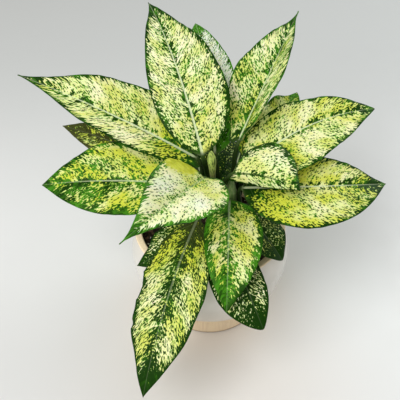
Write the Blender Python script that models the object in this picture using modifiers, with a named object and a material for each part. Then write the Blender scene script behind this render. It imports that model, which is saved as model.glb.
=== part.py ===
"""A potted Chinese evergreen: a foliage plant with broad speckled leaves in a round glazed pot.

Metres, +Z up. The origin is the middle of the pot's foot, on the surface the pot stands on.
+X is to the right and -Y is to the front. Angles are in degrees: a heading is measured from +X
towards +Y, and a climb is measured up from level.
"""

import math

import bpy
import bmesh
from mathutils import Vector

# Pot: one turned piece with a foot, a round belly and a thick lip
POT_HEIGHT = 0.106
POT_LIP_RADIUS = 0.075
POT_LIP_WIDTH = 0.0065
POT_LIP_ROUND = 0.0015
POT_FLOOR = 0.008
POT_SIDES = 40
POT_CURVE_STEPS = 2
FOOT_HEIGHT = 0.029
FOOT_TOP_RADIUS = 0.0570
FOOT_RADIUS = 0.055
FOOT_GROOVE = 0.0012
DRAIN_RADIUS = 0.0045
DRAIN_RING_RADIUS = 0.026
DRAIN_COUNT = 3
DRAIN_FIRST_SHARE = 0.25

# The pot's outer wall between lip and foot, and its inner wall from the floor to below the lip,
# as (radius, height)
POT_OUTER_WALL = ((0.0783, 0.089), (0.0795, 0.071), (0.0745, 0.046), (0.0680, 0.037), (0.0590, 0.030))
POT_INNER_WALL = ((0.0490, 0.012), (0.0510, 0.028), (0.0600, 0.040), (0.0690, 0.055), (0.0715, 0.071))
POT_FLOOR_CORNER = 0.004

# How far a cutter reaches past what it cuts
CUT_PAST = 0.002

# The gap that touching pieces keep
GAP = 0.0003

# Soil: fills the pot to a little below the lip. Its dome runs inwards from the edge, as
# (share of the edge's radius, share of the crown's rise).
SOIL_EDGE_HEIGHT = 0.092
SOIL_CROWN_HEIGHT = 0.095
SOIL_EDGE_IN = 0.0005
SOIL_DOME = ((1.0, 0.0), (0.72, 0.6), (0.36, 1.0), (0.0, 1.0))

# Stems: two short upright canes with leaf scars, set in plain holes in the soil
STEM_PLACES = {"left": (0.002, 0.003), "right": (0.020, 0.006)}
STEM_TOPS = {"left": 0.160, "right": 0.160}
STEM_TIP_STARTS = {"left": 0.155, "right": 0.143}
STEM_TIP_RADII = {"left": 0.0036, "right": 0.0010}
STEM_FOOT_HEIGHT = 0.060
STEM_FOOT_RADIUS = 0.0070
STEM_TOP_RADIUS = 0.0056
STEM_SCAR_SPACING = 0.011
STEM_SCAR_PROUD = 0.0004
STEM_SCAR_HALF_HEIGHT = 0.0012
STEM_SIDES = 16

# Leaf stalks: a sheath that clasps the stem, then a stalk that thins towards the blade and is
# a little flat on top. It leaves the stem at a steep climb and bends over into the blade, and
# its pulls are how far its two bending points lie along it, as shares of its reach.
SHEATH_HALF_WIDTH = 0.0030
SHEATH_HALF_HEIGHT = 0.0042
STALK_SEAT_RADIUS = 0.0030
STALK_BLADE_RADIUS = 0.0019
STALK_TOP_FLATNESS = 0.72
STALK_SEAT_CLIMB = 48
STALK_SEAT_PULL = 0.38
STALK_BLADE_PULL = 0.34
STALK_SECTIONS = 6

# The angles of a stalk's ring that meet the columns of a blade's section, edge to edge
RING_EDGE_TURN = 168
RING_COLUMN_TURN = 26

# Blades: 0.7 mm thick at the edge, with a midrib that stands out below and thins to the tip.
# A section has a column at each edge, at the middle of each half and at both sides of the rib.
BLADE_HALF_THICKNESS = 0.00035
MIDRIB_HALF_WIDTH = 0.0019
MIDRIB_WIDEST_SHARE = 0.4
MIDRIB_DEPTH = 0.0022
MIDRIB_THINNING = 0.75
MIDDLE_COLUMN_SHARE = 0.52
EDGE_COLUMN = 3
TIP_HALF_WIDTH = 0.0004
TIP_DRAW_POWER = 8
BLADE_SECTION_LENGTH = 0.0102
BLADE_FEWEST_SECTIONS = 11
SECTION_CROWDING = 1.25
BLADE_END_SHARE = 0.002
WAVE_EDGE_POWER = 2.5
WAVE_END_POWER = 0.5
EAR_PLACE = 0.05

# The habit of a blade, for whatever a leaf's own entry below doesn't say.
# heading and climb are the midrib's at mid length: the climb falls by arch from base to tip, and
# the heading turns by swing. roll tips the blade's left side up. Each half leaves the midrib at
# its lift, which its cup adds to by the edge. wave is the height of the edge's waves, waves their
# number, and wave_start how far on the first one begins. widest is where the blade is widest, a
# low shoulder makes both ends fuller, left_share is how much wider the left half is than the
# mean, and tip_draw how much the tip is pinched in. A half's ear is how far the rounded corner of
# its base reaches back beside the stalk, or forward if it is below 0.
LEAF_HABIT = {
    "arch": 30, "swing": 0, "roll": 0, "lift_left": 12, "lift_right": 12,
    "cup_left": -12, "cup_right": -12, "wave": 0.0010, "waves": 3, "wave_start": 0.0,
    "widest": 0.40, "shoulder": 0.60, "left_share": 0.0, "tip_draw": 0.40,
    "ear_left": 0.0, "ear_right": 0.0,
}

# Each leaf: where its stalk sits on a stem, where its blade starts, and how the blade lies
LEAVES = {
    "leaf_back_left": {
        "stem": "left", "seat_height": 0.149, "seat_turn": 110, "base": (-0.008, 0.005, 0.188),
        "heading": 110, "climb": 26, "arch": 49, "swing": -4, "length": 0.186, "width": 0.071,
        "roll": -10, "lift_left": 14, "lift_right": 14, "cup_left": -20, "cup_right": -20,
        "wave": 0.0020, "widest": 0.33, "shoulder": 0.60, "left_share": -0.12},
    "leaf_back_middle": {
        "stem": "left", "seat_height": 0.124, "seat_turn": 60, "base": (0.004, 0.020, 0.178),
        "heading": 97, "climb": 22, "swing": 10, "length": 0.165, "width": 0.054,
        "shoulder": 0.50},
    "leaf_back_right": {
        "stem": "right", "seat_height": 0.137, "seat_turn": 75, "base": (0.027, 0.025, 0.190),
        "heading": 63, "climb": 27, "arch": 19, "swing": 8, "length": 0.158, "width": 0.060,
        "lift_left": 22, "lift_right": 55, "cup_right": -20, "wave": 0.0015, "widest": 0.39,
        "shoulder": 0.91, "left_share": 0.09, "tip_draw": 0.58, "ear_left": 0.012},
    "leaf_back_right_low": {
        "stem": "right", "seat_height": 0.118, "seat_turn": 62, "base": (0.036, 0.032, 0.160),
        "heading": 54, "climb": 18, "arch": 20, "length": 0.100, "width": 0.054,
        "wave": 0.0035, "waves": 4, "tip_draw": 0.10},
    "leaf_back_low_left": {
        "stem": "left", "seat_height": 0.103, "seat_turn": 98, "base": (-0.004, 0.030, 0.131),
        "heading": 108, "climb": 2, "arch": 24, "length": 0.100, "width": 0.066},
    "leaf_back_low_right": {
        "stem": "right", "seat_height": 0.104, "seat_turn": 88, "base": (0.021, 0.032, 0.128),
        "heading": 76, "climb": 2, "arch": 24, "length": 0.080, "width": 0.060},
    "leaf_right_high": {
        "stem": "right", "seat_height": 0.130, "seat_turn": 30, "base": (0.037, 0.014, 0.168),
        "heading": 19, "climb": 16, "swing": -24, "length": 0.135, "width": 0.070,
        "roll": 20, "wave": 0.0015, "widest": 0.36, "shoulder": 0.41, "left_share": -0.11},
    "leaf_right_low": {
        "stem": "right", "seat_height": 0.120, "seat_turn": -18, "base": (0.031, 0.002, 0.150),
        "heading": 5, "climb": -2, "swing": 40, "length": 0.145, "width": 0.077,
        "roll": 24, "widest": 0.40, "shoulder": 0.65, "left_share": -0.14},
    "leaf_right_young": {
        "stem": "left", "seat_height": 0.150, "seat_turn": -15, "base": (0.021, -0.003, 0.171),
        "heading": -25, "climb": 2, "arch": 37, "swing": -6, "length": 0.065, "width": 0.053,
        "roll": 20, "lift_left": 10, "lift_right": -60, "cup_left": -30, "cup_right": -20,
        "widest": 0.40, "left_share": 0.52, "ear_left": 0.002, "ear_right": 0.016},
    "leaf_left_high": {
        "stem": "left", "seat_height": 0.133, "seat_turn": 165, "base": (-0.014, 0.014, 0.177),
        "heading": 169, "climb": 23, "arch": 13, "swing": -3, "length": 0.178, "width": 0.059,
        "roll": -31, "lift_left": 12, "wave": 0.0020, "wave_start": 0.80, "widest": 0.38,
        "shoulder": 0.71, "left_share": -0.24, "tip_draw": 0.76, "ear_left": 0.014},
    "leaf_left_dark": {
        "stem": "left", "seat_height": 0.112, "seat_turn": 140, "base": (-0.020, 0.020, 0.146),
        "heading": 159, "climb": 12, "arch": 20, "length": 0.142, "width": 0.054,
        "roll": -15},
    "leaf_left_low": {
        "stem": "left", "seat_height": 0.118, "seat_turn": 200, "base": (-0.030, 0.002, 0.155),
        "heading": 176, "climb": -4, "swing": -18, "length": 0.136, "width": 0.076,
        "roll": -28, "left_share": -0.05},
    "leaf_front_pale": {
        "stem": "left", "seat_height": 0.145, "seat_turn": -112, "base": (-0.006, -0.014, 0.175),
        "heading": -118, "climb": 14, "arch": 14, "swing": -6, "length": 0.136, "width": 0.071,
        "roll": 0, "lift_left": 7, "lift_right": 51, "widest": 0.34, "shoulder": 0.88,
        "left_share": 0.11, "tip_draw": 0.56, "ear_left": 0.012, "ear_right": 0.002},
    "leaf_front_long": {
        "stem": "left", "seat_height": 0.111, "seat_turn": -80, "base": (-0.012, -0.022, 0.133),
        "heading": -109, "climb": -30, "arch": 50, "length": 0.172, "width": 0.060,
        "wave": 0.0030, "waves": 4, "widest": 0.46, "shoulder": 0.80, "left_share": 0.07},
    "leaf_front_left_small": {
        "stem": "left", "seat_height": 0.100, "seat_turn": -150, "base": (-0.016, -0.014, 0.116),
        "heading": -144, "climb": -12, "arch": 40, "swing": -62, "length": 0.072, "width": 0.046},
    "leaf_front_middle": {
        "stem": "right", "seat_height": 0.124, "seat_turn": -105, "base": (0.018, -0.008, 0.143),
        "heading": -93, "climb": -18, "arch": 40, "length": 0.114, "width": 0.053,
        "left_share": 0.16},
    "leaf_front_dark": {
        "stem": "right", "seat_height": 0.104, "seat_turn": -110, "base": (0.012, -0.014, 0.124),
        "heading": -71, "climb": -20, "arch": 45, "swing": 22, "length": 0.116, "width": 0.051,
        "widest": 0.61, "shoulder": 0.96, "left_share": -0.27},
    "leaf_front_right_dark": {
        "stem": "right", "seat_height": 0.111, "seat_turn": -58, "base": (0.026, -0.004, 0.134),
        "heading": -50, "climb": -22, "arch": 40, "swing": 11, "length": 0.070, "width": 0.053,
        "roll": -14, "widest": 0.51, "left_share": -0.04},
}

# The youngest leaf: still rolled up, upright on top of the left stem
ROLLED_LEAF_LENGTH = 0.036
ROLLED_LEAF_RADIUS = 0.0044
ROLLED_LEAF_TIP_RADIUS = 0.0007
ROLLED_LEAF_LEAN = (-0.002, -0.005)
ROLLED_LEAF_LEAN_POWER = 1.5
ROLLED_LEAF_FOOT_SHARE = 0.6
ROLLED_LEAF_FULLEST = 0.62
ROLLED_LEAF_FALL_POWER = 2.2
ROLLED_LEAF_POINTS = 9


def clear_scene():
    """Removes whatever objects the scene starts with."""
    for thing in list(bpy.data.objects):
        bpy.data.objects.remove(thing, do_unlink=True)


def new_collection(name):
    """Adds a collection to the scene."""
    group = bpy.data.collections.new(name)
    bpy.context.scene.collection.children.link(group)
    return group


def new_material(name, colour, roughness):
    """Makes a plain Principled material."""
    material = bpy.data.materials.new(name)
    material.use_nodes = True
    shader = material.node_tree.nodes["Principled BSDF"]
    shader.inputs["Base Color"].default_value = (*colour, 1.0)
    shader.inputs["Roughness"].default_value = roughness
    shader.inputs["Metallic"].default_value = 0.0
    return material


def new_object(name, mesh, group, material=None):
    """Puts a mesh into the scene as a named object."""
    thing = bpy.data.objects.new(name, mesh)
    group.objects.link(thing)
    if material is not None:
        mesh.materials.append(material)
    return thing


def mesh_from(name, points, faces):
    """Makes a mesh from points and faces, shaded smooth."""
    mesh = bpy.data.meshes.new(name)
    mesh.from_pydata(points, [], faces)
    mesh.shade_smooth()
    return mesh


def smooth_curve(points, steps):
    """Points along a Catmull-Rom curve through the given (radius, height) points."""
    padded = [points[0]] + list(points) + [points[-1]]
    line = []
    for i in range(1, len(padded) - 2):
        a, b, c, d = (Vector(p) for p in padded[i - 1:i + 3])
        for k in range(steps):
            t = k / steps
            line.append(0.5 * (2 * b + (c - a) * t + (2 * a - 5 * b + 4 * c - d) * t ** 2
                               + (3 * b - a - 3 * c + d) * t ** 3))
    line.append(Vector(points[-1]))
    return [(p.x, p.y) for p in line]


def turned(name, profile, sides, group, material):
    """A turned solid: its profile runs up the inside, or from the axis, and down the outside."""
    points = [(radius, 0.0, height) for radius, height in profile]
    mesh = bpy.data.meshes.new(name)
    mesh.from_pydata(points, [(i, i + 1) for i in range(len(points) - 1)], [])
    thing = new_object(name, mesh, group, material)
    screw = thing.modifiers.new("turn", "SCREW")
    screw.axis = "Z"
    screw.angle = 2 * math.pi
    screw.steps = sides
    screw.render_steps = sides
    screw.use_merge_vertices = True
    screw.merge_threshold = 0.00001
    screw.use_smooth_shade = True
    return thing


def new_cutter(name, radius, low, high, place, group):
    """A hidden cylinder that cuts a hole."""
    mesh = bpy.data.meshes.new(name)
    shape = bmesh.new()
    bmesh.ops.create_cone(shape, cap_ends=True, segments=STEM_SIDES,
                          radius1=radius, radius2=radius, depth=high - low)
    bmesh.ops.translate(shape, verts=shape.verts, vec=(*place, (low + high) / 2))
    shape.to_mesh(mesh)
    shape.free()
    cutter = new_object(name, mesh, group)
    cutter.hide_render = True
    cutter.display_type = "WIRE"
    return cutter


def cut(thing, cutter):
    """Cuts a hole through a thing."""
    hole = thing.modifiers.new(cutter.name, "BOOLEAN")
    hole.operation = "DIFFERENCE"
    hole.solver = "EXACT"
    hole.object = cutter


def pot_outside():
    """The pot's outer wall from under the lip down to the foot."""
    lip = (POT_LIP_RADIUS, POT_HEIGHT - POT_LIP_ROUND)
    return smooth_curve([lip, *POT_OUTER_WALL], POT_CURVE_STEPS)


def pot_inside(clearance=0.0):
    """The inner wall from the floor up to the lip, or what fits in it with some clearance."""
    floor = POT_FLOOR + clearance
    walls = [(radius - clearance, height) for radius, height in POT_INNER_WALL]
    return [(0.0, floor), (walls[0][0] - POT_FLOOR_CORNER, floor)] + walls


def build_pot(group, cutters, material):
    """The pot, with drain holes in its flat foot."""
    lip_inner = POT_LIP_RADIUS - POT_LIP_WIDTH
    lip = [(lip_inner, POT_HEIGHT - POT_LIP_ROUND),
           (lip_inner + POT_LIP_ROUND, POT_HEIGHT),
           (POT_LIP_RADIUS - POT_LIP_ROUND, POT_HEIGHT)]
    foot = [(FOOT_TOP_RADIUS - FOOT_GROOVE, FOOT_HEIGHT),
            (FOOT_TOP_RADIUS, FOOT_HEIGHT - FOOT_GROOVE),
            (FOOT_RADIUS, 0.0),
            (0.0, 0.0)]
    profile = pot_inside() + lip + pot_outside() + foot
    pot = turned("pot", profile, POT_SIDES, group, material)
    for i in range(DRAIN_COUNT):
        turn = 2 * math.pi * (i + DRAIN_FIRST_SHARE) / DRAIN_COUNT
        place = (DRAIN_RING_RADIUS * math.cos(turn), DRAIN_RING_RADIUS * math.sin(turn))
        cut(pot, new_cutter(f"drain_{i + 1}", DRAIN_RADIUS, -CUT_PAST, POT_FLOOR + CUT_PAST, place,
                            cutters))


def build_soil(group, cutters, material):
    """The soil, slightly domed, with a plain hole for each stem."""
    wall = pot_inside(GAP)
    edge = POT_LIP_RADIUS - POT_LIP_WIDTH - GAP - SOIL_EDGE_IN
    rise = SOIL_CROWN_HEIGHT - SOIL_EDGE_HEIGHT
    surface = [(edge * out, SOIL_EDGE_HEIGHT + rise * up) for out, up in SOIL_DOME]
    profile = surface[::-1] + wall[::-1]
    soil = turned("soil", profile, POT_SIDES, group, material)
    for side, place in STEM_PLACES.items():
        cut(soil, new_cutter(f"stem_hole_{side}", STEM_FOOT_RADIUS + STEM_SCAR_PROUD + GAP,
                             STEM_FOOT_HEIGHT - GAP, POT_HEIGHT, place, cutters))


def stem_radius(side, height):
    """How thick a stem is at a height."""
    share = (height - STEM_FOOT_HEIGHT) / (STEM_TIP_STARTS[side] - STEM_FOOT_HEIGHT)
    return STEM_FOOT_RADIUS + (STEM_TOP_RADIUS - STEM_FOOT_RADIUS) * share


def build_stem(side, group, material):
    """A stem with a slightly raised ring at each old leaf scar, below the lowest leaf."""
    tip = STEM_TIP_RADII[side]
    profile = [(0.0, STEM_TOPS[side]),
               (tip, STEM_TOPS[side]),
               (STEM_TOP_RADIUS, STEM_TIP_STARTS[side])]
    height = SOIL_CROWN_HEIGHT
    while height > STEM_FOOT_HEIGHT + STEM_SCAR_SPACING / 2:
        radius = stem_radius(side, height)
        profile.append((radius, height + STEM_SCAR_HALF_HEIGHT))
        profile.append((radius + STEM_SCAR_PROUD, height))
        profile.append((radius, height - STEM_SCAR_HALF_HEIGHT))
        height -= STEM_SCAR_SPACING
    profile.append((STEM_FOOT_RADIUS, STEM_FOOT_HEIGHT))
    profile.append((0.0, STEM_FOOT_HEIGHT))
    stem = turned(f"stem_{side}", profile, STEM_SIDES, group, material)
    stem.location = (*STEM_PLACES[side], 0.0)


def direction(heading, climb):
    """A unit vector from a heading and a climb in degrees."""
    turn = math.radians(heading)
    rise = math.radians(climb)
    return Vector((math.cos(rise) * math.cos(turn), math.cos(rise) * math.sin(turn), math.sin(rise)))


def blade_frame(leaf, along):
    """The directions forward, left and up out of the blade, at a share of its length."""
    heading = leaf["heading"] + leaf["swing"] * (along - 0.5)
    forward = direction(heading, leaf["climb"] + leaf["arch"] * (0.5 - along))
    level = direction(heading + 90, 0)
    above = forward.cross(level)
    roll = math.radians(leaf["roll"])
    left = level * math.cos(roll) + above * math.sin(roll)
    return forward, left, forward.cross(left)


def midrib_point(leaf, along, steps=40):
    """The midrib's place at a share of the blade's length."""
    place = Vector(leaf["base"])
    for i in range(steps):
        middle = along * (i + 0.5) / steps
        place += blade_frame(leaf, middle)[0] * (leaf["length"] * along / steps)
    return place


def half_width(leaf, along):
    """The blade's half width: rounded at the base, widest before the middle, drawn out to a tip."""
    peak = leaf["widest"]
    fall = leaf["shoulder"] * (1 - peak) / peak
    share = (along / peak) ** leaf["shoulder"] * ((1 - along) / (1 - peak)) ** fall
    drawn = 1 - leaf["tip_draw"] * along ** TIP_DRAW_POWER
    return max(leaf["width"] / 2 * share * drawn, TIP_HALF_WIDTH)


def blade_section(leaf, along):
    """One section across the blade, as its upper row and its lower row from left to right."""
    centre = midrib_point(leaf, along)
    forward, left, up = blade_frame(leaf, along)
    fade = math.sin(math.pi * along) ** WAVE_END_POWER
    back = along / EAR_PLACE * math.exp(1 - along / EAR_PLACE)
    taper = 1 - MIDRIB_THINNING * along
    rows = {"upper": [], "lower": []}
    for column in range(-EDGE_COLUMN, EDGE_COLUMN + 1):
        side = "left" if column < 0 else "right"
        sign = -1 if side == "right" else 1
        reach = half_width(leaf, along) * (1 + sign * leaf["left_share"])
        rib = min(MIDRIB_HALF_WIDTH * taper, MIDRIB_WIDEST_SHARE * reach)
        out = (0.0, rib, rib + MIDDLE_COLUMN_SHARE * (reach - rib), reach)[abs(column)]
        share = out / reach
        lift = leaf["lift_" + side]
        cup = leaf["cup_" + side]
        chord = math.radians(lift + cup * share / 2)
        lean = math.radians(lift + cup * share)
        phase = leaf["waves"] * along + leaf["wave_start"] + (0.5 if side == "right" else 0.0)
        ripple = leaf["wave"] * fade * math.sin(2 * math.pi * phase) * share ** WAVE_EDGE_POWER
        point = centre + left * (sign * out * math.cos(chord)) + up * (out * math.sin(chord) + ripple)
        skin = up if column == 0 else up * math.cos(lean) - left * (sign * math.sin(lean))
        point -= forward * (leaf["ear_" + side] * back * share ** 2)
        depth = BLADE_HALF_THICKNESS + (MIDRIB_DEPTH * taper if column == 0 else 0.0)
        rows["upper"].append(point + skin * BLADE_HALF_THICKNESS)
        rows["lower"].append(point - skin * depth)
    return rows["upper"] + rows["lower"][::-1]


def stalk_sections(leaf):
    """The sections of the leaf's stalk, from the sheath on its stem to the foot of the blade."""
    side = leaf["stem"]
    axis = Vector((*STEM_PLACES[side], 0.0))
    radius = stem_radius(side, leaf["seat_height"]) + GAP
    out = direction(leaf["seat_turn"], 0)
    seat = axis + out * radius + Vector((0, 0, leaf["seat_height"]))
    base = Vector(leaf["base"])
    reach = (base - seat).length
    forward, left, up = blade_frame(leaf, 0.0)
    bend_a = seat + direction(leaf["seat_turn"], STALK_SEAT_CLIMB) * (STALK_SEAT_PULL * reach)
    bend_b = base - forward * (STALK_BLADE_PULL * reach)
    seat_left = direction(leaf["seat_turn"] + 90, 0)
    sections = [sheath_section(axis, radius, leaf)]
    for i in range(1, STALK_SECTIONS):
        t = i / STALK_SECTIONS
        place = (seat * (1 - t) ** 3 + bend_a * (3 * t * (1 - t) ** 2)
                 + bend_b * (3 * t * t * (1 - t)) + base * t ** 3)
        ahead = ((bend_a - seat) * (1 - t) ** 2 + (bend_b - bend_a) * (2 * t * (1 - t))
                 + (base - bend_b) * t * t).normalized()
        across = seat_left.lerp(left, t)
        across = (across - ahead * across.dot(ahead)).normalized()
        thick = STALK_SEAT_RADIUS + (STALK_BLADE_RADIUS - STALK_SEAT_RADIUS) * t
        sections.append(stalk_ring(place, across, ahead.cross(across), thick))
    return sections


def ring_turns():
    """The angles of a stalk's ring, matched to the columns of a blade section."""
    columns = range(2 * EDGE_COLUMN + 1)
    upper = [math.radians(RING_EDGE_TURN - RING_COLUMN_TURN * i) for i in columns]
    return upper + [-turn for turn in upper[::-1]]


def stalk_ring(place, across, above, radius):
    """One ring of the stalk, a little flattened on top."""
    ring = []
    for turn in ring_turns():
        height = math.sin(turn) * (STALK_TOP_FLATNESS if turn > 0 else 1.0)
        ring.append(place - across * (math.cos(turn) * radius) + above * (height * radius))
    return ring


def sheath_section(axis, radius, leaf):
    """The foot of the stalk, curved round the stem it clasps."""
    ring = []
    for turn in ring_turns():
        spread = -math.cos(turn) * SHEATH_HALF_WIDTH / radius
        heading = math.radians(leaf["seat_turn"]) + spread
        height = leaf["seat_height"] + math.sin(turn) * SHEATH_HALF_HEIGHT
        ring.append(axis + Vector((radius * math.cos(heading), radius * math.sin(heading), height)))
    return ring


def loft(name, sections):
    """A closed skin over sections whose upper and lower rows are split into triangles alike."""
    count = len(sections[0])
    half = count // 2
    points = [tuple(point) for section in sections for point in section]
    faces = []
    for i in range(len(sections) - 1):
        near = i * count
        far = near + count
        for j in range(count):
            k = (j + 1) % count
            if j < half:
                faces.append((near + j, near + k, far + k))
                faces.append((near + j, far + k, far + j))
            else:
                faces.append((near + j, near + k, far + j))
                faces.append((near + k, far + k, far + j))
    last = (len(sections) - 1) * count
    for j in range(half - 1):
        mirror = count - 1 - j
        faces.append((j, mirror, mirror - 1))
        faces.append((j, mirror - 1, j + 1))
        faces.append((last + j, last + mirror - 1, last + mirror))
        faces.append((last + j, last + j + 1, last + mirror - 1))
    return mesh_from(name, points, faces)


def build_leaf(name, entry, group, material):
    """One leaf: stalk, blade and midrib in one piece."""
    leaf = {**LEAF_HABIT, **entry}
    sections = stalk_sections(leaf)
    steps = max(BLADE_FEWEST_SECTIONS, round(leaf["length"] / BLADE_SECTION_LENGTH))
    for i in range(steps + 1):
        along = (i / steps) ** SECTION_CROWDING
        sections.append(blade_section(leaf, min(max(along, BLADE_END_SHARE), 1 - BLADE_END_SHARE)))
    new_object(name, loft(name, sections), group, material)


def rolled_leaf_fullness(along):
    """How full the rolled leaf is: slimmer at its foot, then drawn out to a point."""
    if along < ROLLED_LEAF_FULLEST:
        return ROLLED_LEAF_FOOT_SHARE + (1 - ROLLED_LEAF_FOOT_SHARE) * along / ROLLED_LEAF_FULLEST
    fall = ((along - ROLLED_LEAF_FULLEST) / (1 - ROLLED_LEAF_FULLEST)) ** ROLLED_LEAF_FALL_POWER
    return 1 - (1 - ROLLED_LEAF_TIP_RADIUS / ROLLED_LEAF_RADIUS) * fall


def build_rolled_leaf(group, material):
    """The leaf that hasn't opened, a slim spindle with its foot on the left stem's top."""
    name = "leaf_rolled"
    line = bpy.data.curves.new(name, "CURVE")
    line.dimensions = "3D"
    line.bevel_depth = ROLLED_LEAF_RADIUS
    line.bevel_resolution = 1
    line.use_fill_caps = True
    spline = line.splines.new("POLY")
    spline.points.add(ROLLED_LEAF_POINTS - 1)
    foot = Vector((*STEM_PLACES["left"], STEM_TOPS["left"] + GAP))
    for i in range(ROLLED_LEAF_POINTS):
        along = i / (ROLLED_LEAF_POINTS - 1)
        lean = Vector((*ROLLED_LEAF_LEAN, 0.0)) * along ** ROLLED_LEAF_LEAN_POWER
        place = foot + Vector((0, 0, ROLLED_LEAF_LENGTH * along)) + lean
        spline.points[i].co = (*place, 1.0)
        spline.points[i].radius = rolled_leaf_fullness(along)
    line.materials.append(material)
    thing = bpy.data.objects.new(name, line)
    group.objects.link(thing)


def build_plant():
    """Builds the whole plant in its pot."""
    clear_scene()
    group = new_collection("potted_chinese_evergreen")
    cutters = new_collection("cutters")
    glaze = new_material("white_glaze", (0.80, 0.78, 0.74), 0.25)
    earth = new_material("potting_soil", (0.060, 0.038, 0.024), 0.95)
    cane = new_material("green_stem", (0.16, 0.24, 0.07), 0.55)
    foliage = new_material("speckled_leaf", (0.42, 0.52, 0.16), 0.40)
    dark_foliage = new_material("dark_leaf", (0.06, 0.15, 0.04), 0.40)
    fresh_foliage = new_material("fresh_leaf", (0.46, 0.55, 0.20), 0.40)
    build_pot(group, cutters, glaze)
    build_soil(group, cutters, earth)
    for side in STEM_PLACES:
        build_stem(side, group, cane)
    for name, entry in LEAVES.items():
        build_leaf(name, entry, group, dark_foliage if "dark" in name else foliage)
    build_rolled_leaf(group, fresh_foliage)


build_plant()
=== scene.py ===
"""The looks of a potted Chinese evergreen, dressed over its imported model.

Metres, +Z up, -Y to the front. Angles set by name are in degrees. The pattern on a leaf, and the
distance to the edge of the pot's glaze, are in millimetres. The scale of a cloud says how many
there are to the metre, or to the millimetre on a leaf.
"""

import math

import bmesh
import bpy
import numpy as np
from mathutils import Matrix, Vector, noise


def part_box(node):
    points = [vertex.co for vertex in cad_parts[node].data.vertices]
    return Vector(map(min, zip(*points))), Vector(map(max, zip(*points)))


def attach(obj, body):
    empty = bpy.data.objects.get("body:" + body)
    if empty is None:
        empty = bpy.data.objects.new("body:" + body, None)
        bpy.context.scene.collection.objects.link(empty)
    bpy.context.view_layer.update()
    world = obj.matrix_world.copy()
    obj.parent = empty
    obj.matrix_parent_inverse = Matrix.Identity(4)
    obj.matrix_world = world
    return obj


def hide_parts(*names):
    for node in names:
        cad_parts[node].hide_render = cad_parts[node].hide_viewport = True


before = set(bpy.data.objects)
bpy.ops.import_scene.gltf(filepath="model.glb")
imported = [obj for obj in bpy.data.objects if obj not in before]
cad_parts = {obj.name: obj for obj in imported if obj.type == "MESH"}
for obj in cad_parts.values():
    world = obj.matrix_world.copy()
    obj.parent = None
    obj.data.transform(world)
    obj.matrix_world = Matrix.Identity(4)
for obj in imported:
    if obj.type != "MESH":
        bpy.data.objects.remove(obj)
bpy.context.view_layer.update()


# The pot: stoneware turned on a wheel in one piece, a round bowl with a thick lip on a low foot.
# White glaze covers it from the lip down to where the bowl turns in to its foot. The lip, the
# inside and the foot were left bare, and fired to a warm buff.
MM_IN_METRE = 1000
POT_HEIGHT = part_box("pot")[1][2]
LIP_RADIUS = 0.075
LIP_WIDTH = 0.0065
LIP_ROUND = 0.0015
POT_OUTER_WALL = ((0.0783, 0.089), (0.0795, 0.071), (0.0745, 0.046), (0.0680, 0.037), (0.0590, 0.030))
POT_INNER_WALL = ((0.0490, 0.012), (0.0510, 0.028), (0.0600, 0.040), (0.0690, 0.055), (0.0715, 0.071))
OUTER_WALL_STEPS = 10
INNER_WALL_STEPS = 8
POT_FLOOR = 0.008
POT_FLOOR_CORNER = 0.004
FOOT_HEIGHT = 0.029
FOOT_TOP_RADIUS = 0.0570
FOOT_RADIUS = 0.055
FOOT_GROOVE = 0.0012
FOOT_EDGE = 0.0008
FOOT_CONTACT_SHADOW_HEIGHTS = (0.0010, 0.0030)
DRAIN_RADIUS = 0.0045
DRAIN_RING_RADIUS = 0.026
DRAIN_COUNT = 3
DRAIN_FIRST_SHARE = 0.25
DRAIN_SIDES = 32
POT_SIDES = 160
POT_STEP = 0.003
GLAZE_END_RADIUS = LIP_RADIUS - LIP_WIDTH / 2
GLAZE_END_WANDER = 0.8
GLAZE_END_BLUR = 0.25
GLAZE_THINNING = 14.0
GLAZE_WHITE = (0.80, 0.79, 0.76, 1)
GLAZE_SHADE = (0.70, 0.69, 0.65, 1)
GLAZE_THIN = (0.72, 0.62, 0.50, 1)
GLAZE_ROUGHNESS = 0.22
CLAY_BUFF = (0.95, 0.77, 0.53, 1)
CLAY_DARK = (0.84, 0.65, 0.44, 1)
CLAY_GRAIN = (0.88, 0.72, 0.52, 1)
CONTACT_SHADOW_BROWN = (0.34, 0.22, 0.12, 1)
CLAY_ROUGHNESS = 0.82


def smooth_curve(points, steps):
    """Points along a Catmull-Rom curve through the given (radius, height) points."""
    padded = [points[0], *points, points[-1]]
    line = []
    for i in range(1, len(padded) - 2):
        a, b, c, d = (Vector(p) for p in padded[i - 1:i + 3])
        for k in range(steps):
            t = k / steps
            line.append(0.5 * (2 * b + (c - a) * t + (2 * a - 5 * b + 4 * c - d) * t ** 2
                               + (3 * b - a - 3 * c + d) * t ** 3))
    line.append(Vector(points[-1]))
    return [(p.x, p.y) for p in line]


def quarter_round(centre, radius, first, steps=6):
    """Points on a quarter circle that turns clockwise from the first angle in degrees."""
    turns = [math.radians(first - 90 * k / steps) for k in range(steps + 1)]
    return [(centre[0] + radius * math.cos(t), centre[1] + radius * math.sin(t)) for t in turns]


def divided(line, longest):
    """The line with points added until no step is longer than that."""
    fine = [line[0]]
    for end in line[1:]:
        start = fine[-1]
        count = max(1, math.ceil(math.dist(start, end) / longest))
        for k in range(1, count + 1):
            fine.append(tuple(start[i] + (end[i] - start[i]) * k / count for i in (0, 1)))
    return fine


def placed(name, data):
    """An object in the scene that shows a mesh, a light or a camera."""
    shown = bpy.data.objects.new(name, data)
    bpy.context.scene.collection.objects.link(shown)
    return shown


def mesh_piece(name, points, faces, material, sharp=40):
    """A named piece from points and faces, shaded smooth where its faces bend less than sharp."""
    mesh = bpy.data.meshes.new(name)
    mesh.from_pydata(np.asarray(points).tolist(), [], faces)
    mesh.shade_smooth()
    mesh.set_sharp_from_angle(angle=math.radians(sharp))
    mesh.materials.append(material)
    return placed(name, mesh)


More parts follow.
